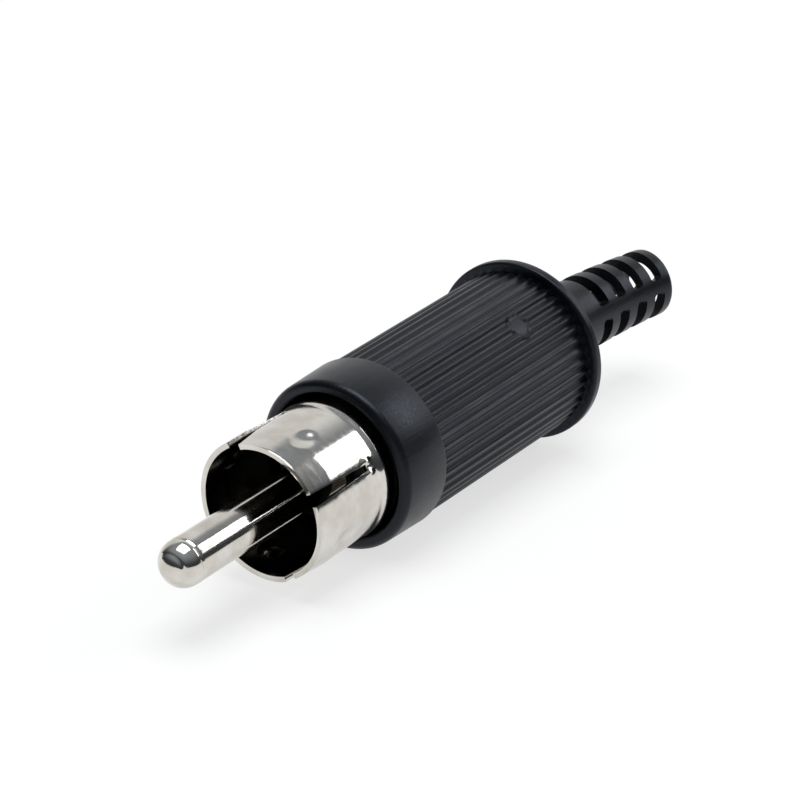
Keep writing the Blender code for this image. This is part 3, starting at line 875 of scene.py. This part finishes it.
def phenolic_paper():
    """Resin bonded paper board: brown, waxy, with short paper fibres and layers at the edge."""
    finish, tree, shader, plug = new_material("phenolic_paper_board", "#6a3d22", 0.55, 0.0)
    fibre = noise(tree, stretched(tree, plug, 6.0, 2.5), 1.0, 5.0, 0.7)
    layers = add(tree, "ShaderNodeTexWave", {"bands_direction": "X"},
                 {"Vector": (plug, "Vector"), "Scale": 3.3, "Distortion": 1.5, "Detail": 2.0})
    share = maths(tree, "MULTIPLY", (layers, "Fac"), 0.35)
    share = maths(tree, "ADD", (share, 0), (graded(tree, (fibre, "Fac"), 0.4, 0.7, 0.0, 0.6), 0))
    tone = mixed(tree, (share, 0), colour("#5a321b"), colour("#86532f"))
    tree.links.new(tone.outputs[2], shader.inputs["Base Color"])
    gloss = graded(tree, (fibre, "Fac"), 0.3, 0.7, 0.45, 0.65)
    tree.links.new(gloss.outputs[0], shader.inputs["Roughness"])
    bumped(tree, shader, (fibre, "Fac"), 0.02)
    return finish


def fit_piece(piece, body, node, finish=None, lay=True):
    """Lay a finished piece in place of its node, on its body, in its material."""
    if lay:
        lay_on_side(piece)
    if finish:
        piece.data.materials.clear()
        piece.data.materials.append(finish)
    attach(piece, body)
    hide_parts(node)


def pale_floor():
    """White paper floor, lit so that it stays white but for the plug's shadow."""
    bpy.ops.mesh.primitive_plane_add(size=3.0, location=(0.9, 0.6, -0.0001))
    floor = bpy.context.object
    floor.name = "white_paper_floor"
    finish = bpy.data.materials.new("white_paper")
    finish.use_nodes = True
    tree = finish.node_tree
    tree.nodes.clear()
    path = add(tree, "ShaderNodeLightPath")
    seen = maths(tree, "MAXIMUM", (path, "Is Camera Ray"), (path, "Is Glossy Ray"))
    seen = maths(tree, "MAXIMUM", (seen, 0), (path, "Is Transmission Ray"))
    share = maths(tree, "MULTIPLY", (seen, 0), FLOOR_GLOW)
    paper = add(tree, "ShaderNodeBsdfDiffuse", None, {"Color": colour("#fbfbfb")})
    white = add(tree, "ShaderNodeEmission", None, {"Color": colour("#ffffff"), "Strength": 1.0})
    both = add(tree, "ShaderNodeMixShader", None,
               {0: (share, 0), 1: (paper, 0), 2: (white, 0)})
    add(tree, "ShaderNodeOutputMaterial", None, {"Surface": (both, 0)})
    floor.data.materials.append(finish)


def lamp(name, towards, distance, size, light_level, lean=0.0):
    """A rectangular soft box that looks at the plug from a direction, its level 1 for white."""
    bpy.ops.object.light_add(type="AREA")
    light = bpy.context.object
    light.name = name
    light.data.shape = "RECTANGLE"
    light.data.size, light.data.size_y = size
    light.data.energy = light_level * math.pi * size[0] * size[1]
    direction = Vector(towards).normalized()
    light.location = VIEW_AIM + direction * distance
    facing = direction.to_track_quat("Z", "Y")
    light.rotation_euler = (facing @ Quaternion((0, 0, 1), lean)).to_euler()


def studio():
    """A dim room with a pale backdrop behind the plug, a window to the right and a soft box above."""
    right = Vector((math.cos(VIEW_TURN), math.sin(VIEW_TURN), 0))
    ahead = Vector((-math.sin(VIEW_TURN), math.cos(VIEW_TURN), 0))
    up = Vector((0, 0, 1))
    turn, rise = WINDOW_TURN, WINDOW_RISE
    level = right * math.sin(turn) + ahead * math.cos(turn)
    lamp("window", level * math.cos(rise) + up * math.sin(rise), WINDOW_DISTANCE, WINDOW_SIZE,
         WINDOW_LIGHT, WINDOW_LEAN)
    lamp("soft_box_above", up, SOFT_BOX_DISTANCE, SOFT_BOX_SIZE, SOFT_BOX_LIGHT)
    world = bpy.data.worlds.new("dim_room")
    bpy.context.scene.world = world
    world.use_nodes = True
    tree = world.node_tree
    tree.nodes.clear()
    sky = add(tree, "ShaderNodeTexCoord")
    height = add(tree, "ShaderNodeSeparateXYZ", None, {0: (sky, "Generated")})
    facing = add(tree, "ShaderNodeVectorMath", {"operation": "DOT_PRODUCT"},
                 {0: (sky, "Generated"), 1: ahead})
    backdrop = maths(tree, "MULTIPLY", (graded(tree, (facing, "Value"), *BACKDROP_SIDE), 0),
                     (graded(tree, (height, "Z"), *BACKDROP_TOP, 1.0, 0.0), 0))
    tone = graded(tree, (height, "Z"), *ROOM_RISE, *ROOM_LIGHT)
    path = add(tree, "ShaderNodeLightPath")
    room = add(tree, "ShaderNodeBackground", None, {"Color": colour("#eaf2fc"), "Strength": (tone, 0)})
    white = add(tree, "ShaderNodeBackground", None, {"Color": colour("#ffffff"), "Strength": 1.0})
    share = maths(tree, "MAXIMUM", (path, "Is Camera Ray"),
                  (maths(tree, "MULTIPLY", (backdrop, 0), BACKDROP_SHARE), 0))
    both = add(tree, "ShaderNodeMixShader", None, {0: (share, 0), 1: (room, 0), 2: (white, 0)})
    add(tree, "ShaderNodeOutputWorld", None, {"Surface": (both, 0)})


def camera():
    """The photograph's view."""
    bpy.ops.object.camera_add()
    eye = bpy.context.object
    eye.name = "photo_camera"
    eye.data.sensor_width = SENSOR_MM
    eye.data.lens = FOCAL_PIXELS / PIXELS * SENSOR_MM
    eye.data.clip_start = 0.01
    eye.rotation_euler = (math.pi / 2 - VIEW_DROP, 0, VIEW_TURN)
    bpy.context.view_layer.update()
    eye.location = VIEW_AIM + eye.matrix_world.to_3x3() @ Vector((0, 0, VIEW_DISTANCE))
    bpy.context.scene.camera = eye


cover_plastic = moulded_black_plastic()
sleeve_nickel = nickel("nickel_plate_on_sleeve", "#d5d2cc", "#c6c1b8", 0.12, (3.0, 0.8))
# The sleeve's inner faces: the same nickel painted dark, as painted shade inside the sleeve.
sleeve_inside_painted_shade = nickel("thin_nickel_inside_sleeve", "#6a6661", "#514d48", 0.15, (3.0, 0.8))
pin_nickel = nickel("nickel_plate_on_pin", "#d5d2cc", "#c4bfb5", 0.10, (0.3, 3.0))
lug_metal = tinned_brass()

fit_piece(screw_cover(), "cover", "screw_cover", cover_plastic)
fit_piece(ground_sleeve(sleeve_nickel, sleeve_inside_painted_shade), "core", "ground_sleeve")
fit_piece(centre_pin(), "pin_group", "centre_pin", pin_nickel)
fit_piece(insulating_bush(), "pin_group", "insulating_bush", moulded_bush_plastic())
fit_piece(rear_wafer(), "pin_group", "rear_washer", phenolic_paper())
for node, name in (("ground_lug", "clamp_lug"), ("centre_lug", "solder_lug")):
    fit_piece(softened_copy(node, name), "core", node, lug_metal, lay=False)

pale_floor()
studio()
camera()
bpy.context.scene.view_settings.view_transform = "Standard"
